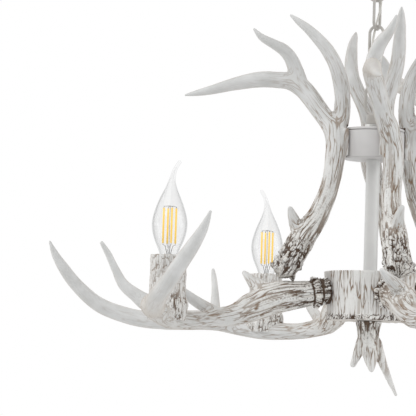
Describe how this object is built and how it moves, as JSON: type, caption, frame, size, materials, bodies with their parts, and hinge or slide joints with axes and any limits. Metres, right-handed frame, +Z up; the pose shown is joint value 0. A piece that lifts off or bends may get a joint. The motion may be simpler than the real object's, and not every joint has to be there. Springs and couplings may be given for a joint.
{
  "type": "antler chandelier",
  "caption": "Ceiling chandelier of cast antlers around a hub, with candle lamps, a finial and a hanging chain.",
  "frame": {"origin": "centre of the ceiling bar's slots, on the ceiling plane and the chandelier's axis", "axes": "+Z up; +X to the right and +Y away from the camera of the picture; the first arm points to -X and a little to -Y"},
  "size_m": [0.6974, 0.6974, 0.4604],
  "materials": {
    "zinc_steel": "dull zinc plate",
    "white_metal": "satin off-white paint",
    "cord_white": "smooth",
    "brass": "plain",
    "bark_resin": "white-washed bark texture",
    "antler_resin": "white-washed cast antler, brown in the grooves",
    "holder_plastic": "smooth",
    "bulb_metal": "threaded shell",
    "clear_glass": "clear",
    "led_filament": "yellow phosphor"
  },
  "bodies": {
    "ceiling_fitting": {"mounting_bar": "zinc_steel", "canopy": "white_metal", "canopy_pipe": "white_metal", "canopy_nuts": "zinc_steel", "canopy_loop": "white_metal"},
    "link_1": {"chain_link_1": "white_metal"},
    "link_2": {"chain_link_2": "white_metal", "supply_cord": "cord_white"},
    "link_3": {"chain_link_3": "white_metal"},
    "chandelier_frame": {"column_pipe": "white_metal", "top_loop": "white_metal", "lock_nut": "zinc_steel", "drum_lid": "white_metal", "drum_body": "white_metal", "centre_tube": "white_metal", "hub_shell": "bark_resin", "hub_cover": "white_metal", "finial": "bark_resin", "lower_antler_screws": "zinc_steel", "upper_antler_screws": "zinc_steel", "holder_stems": "zinc_steel", "holder_contacts": "brass", "upper_antler_1": "antler_resin", "lower_antler_1": "antler_resin", "candle_sleeve_1": "bark_resin", "lampholder_1": "holder_plastic", "upper_antler_2": "antler_resin", "lower_antler_2": "antler_resin", "candle_sleeve_2": "bark_resin", "lampholder_2": "holder_plastic", "upper_antler_3": "antler_resin", "lower_antler_3": "antler_resin", "candle_sleeve_3": "bark_resin", "lampholder_3": "holder_plastic", "upper_antler_4": "antler_resin", "lower_antler_4": "antler_resin", "candle_sleeve_4": "bark_resin", "lampholder_4": "holder_plastic"},
    "bulb_1": {"bulb_cap_1": "bulb_metal", "bulb_glass_1": "clear_glass", "bulb_stem_1": "clear_glass", "bulb_filaments_1": "led_filament"},
    "bulb_2": {"bulb_cap_2": "bulb_metal", "bulb_glass_2": "clear_glass", "bulb_stem_2": "clear_glass", "bulb_filaments_2": "led_filament"},
    "bulb_3": {"bulb_cap_3": "bulb_metal", "bulb_glass_3": "clear_glass", "bulb_stem_3": "clear_glass", "bulb_filaments_3": "led_filament"},
    "bulb_4": {"bulb_cap_4": "bulb_metal", "bulb_glass_4": "clear_glass", "bulb_stem_4": "clear_glass", "bulb_filaments_4": "led_filament"}
  },
  "joints": [
    {"name": "link_1_swing", "type": "hinge", "parent": "ceiling_fitting", "child": "link_1", "pos_m": [0, 0, -0.05725], "axis": [0.9135, -0.4067, 0], "range_deg": [-12, 12], "deforming": ["supply_cord"]},
    {"name": "link_2_swing", "type": "hinge", "parent": "link_1", "child": "link_2", "pos_m": [0, 0, -0.0867], "axis": [0.4067, 0.9135, 0], "range_deg": [-12, 12], "deforming": ["supply_cord"]},
    {"name": "link_3_swing", "type": "hinge", "parent": "link_2", "child": "link_3", "pos_m": [0, 0, -0.1164], "axis": [0.9135, -0.4067, 0], "range_deg": [-12, 12], "deforming": ["supply_cord"]},
    {"name": "frame_swing", "type": "hinge", "parent": "link_3", "child": "chandelier_frame", "pos_m": [0, 0, -0.1461], "axis": [0.4067, 0.9135, 0], "range_deg": [-12, 12], "deforming": ["supply_cord"]},
    {"name": "bulb_1_turn", "type": "hinge", "parent": "chandelier_frame", "child": "bulb_1", "pos_m": [-0.196, -0.1135, -0.37945], "axis": [0, 0, 1], "continuous": true},
    {"name": "bulb_2_turn", "type": "hinge", "parent": "chandelier_frame", "child": "bulb_2", "pos_m": [0.1135, -0.196, -0.37945], "axis": [0, 0, 1], "continuous": true},
    {"name": "bulb_3_turn", "type": "hinge", "parent": "chandelier_frame", "child": "bulb_3", "pos_m": [0.196, 0.1135, -0.37945], "axis": [0, 0, 1], "continuous": true},
    {"name": "bulb_4_turn", "type": "hinge", "parent": "chandelier_frame", "child": "bulb_4", "pos_m": [-0.1135, 0.196, -0.37945], "axis": [0, 0, 1], "continuous": true}
  ]
}
